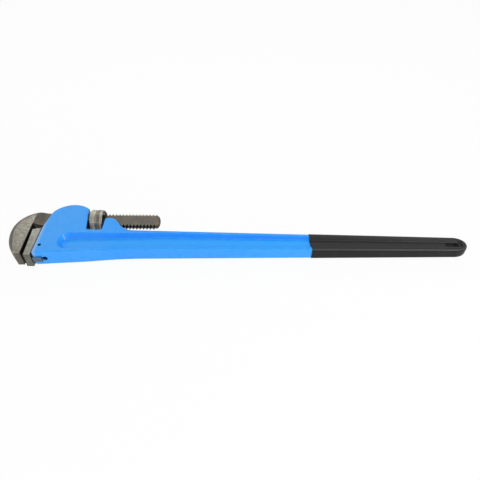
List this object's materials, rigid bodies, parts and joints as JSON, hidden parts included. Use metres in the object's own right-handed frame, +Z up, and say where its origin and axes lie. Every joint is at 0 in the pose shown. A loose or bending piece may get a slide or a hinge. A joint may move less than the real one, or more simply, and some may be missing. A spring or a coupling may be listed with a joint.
{
  "type": "pipe wrench",
  "caption": "Heavy-duty straight pipe wrench with an I-beam handle, dipped grip, toothed jaws, a sliding threaded hook jaw and a knurled adjusting nut.",
  "frame": {"origin": "middle of the bounding box, on the plane that the wrench lies on", "axes": "+X along the handle towards its end, +Y across the wrench towards the hump, +Z up through the thickness"},
  "size_m": [1.087, 0.175, 0.058],
  "materials": {
    "blue_enamel": "glossy blue enamel on cast iron",
    "black_vinyl": "matt black dipped vinyl",
    "forged_steel": "warm grey forged steel, lightly oiled",
    "nut_steel": "turned and knurled steel",
    "pin_steel": "dark steel pin",
    "spring_steel": "oiled spring steel"
  },
  "bodies": {
    "handle": {"handle_casting": "blue_enamel", "grip_sleeve": "black_vinyl", "heel_jaw": "forged_steel", "heel_jaw_pin": "pin_steel", "coil_spring": "spring_steel"},
    "leaf": {"flat_spring": "spring_steel", "spring_rivet": "spring_steel"},
    "jaw": {"hook_jaw": "forged_steel"},
    "nut": {"adjusting_nut": "nut_steel"}
  },
  "joints": [
    {"name": "jaw_rock", "type": "hinge", "parent": "handle", "child": "leaf", "pos_m": [-0.3453, 0.04595, 0.02899], "axis": [0, 0, -1], "range_deg": [0, 2], "stiffness_Nm_per_rad": 20, "springref_deg": -11.46, "deforming": ["coil_spring"]},
    {"name": "jaw_slide", "type": "slide", "parent": "leaf", "child": "jaw", "axis": [-1, 0, 0], "range_m": [-0.0035, 0.13]},
    {"name": "nut_spin", "type": "hinge", "parent": "leaf", "child": "nut", "pos_m": [-0.3453, 0.04595, 0.02899], "axis": [1, 0, 0], "range_deg": [-151, 5600]}
  ],
  "couplings": [
    {"joint": "nut_spin", "follows": "jaw_slide", "rad_per_m": 748}
  ]
}
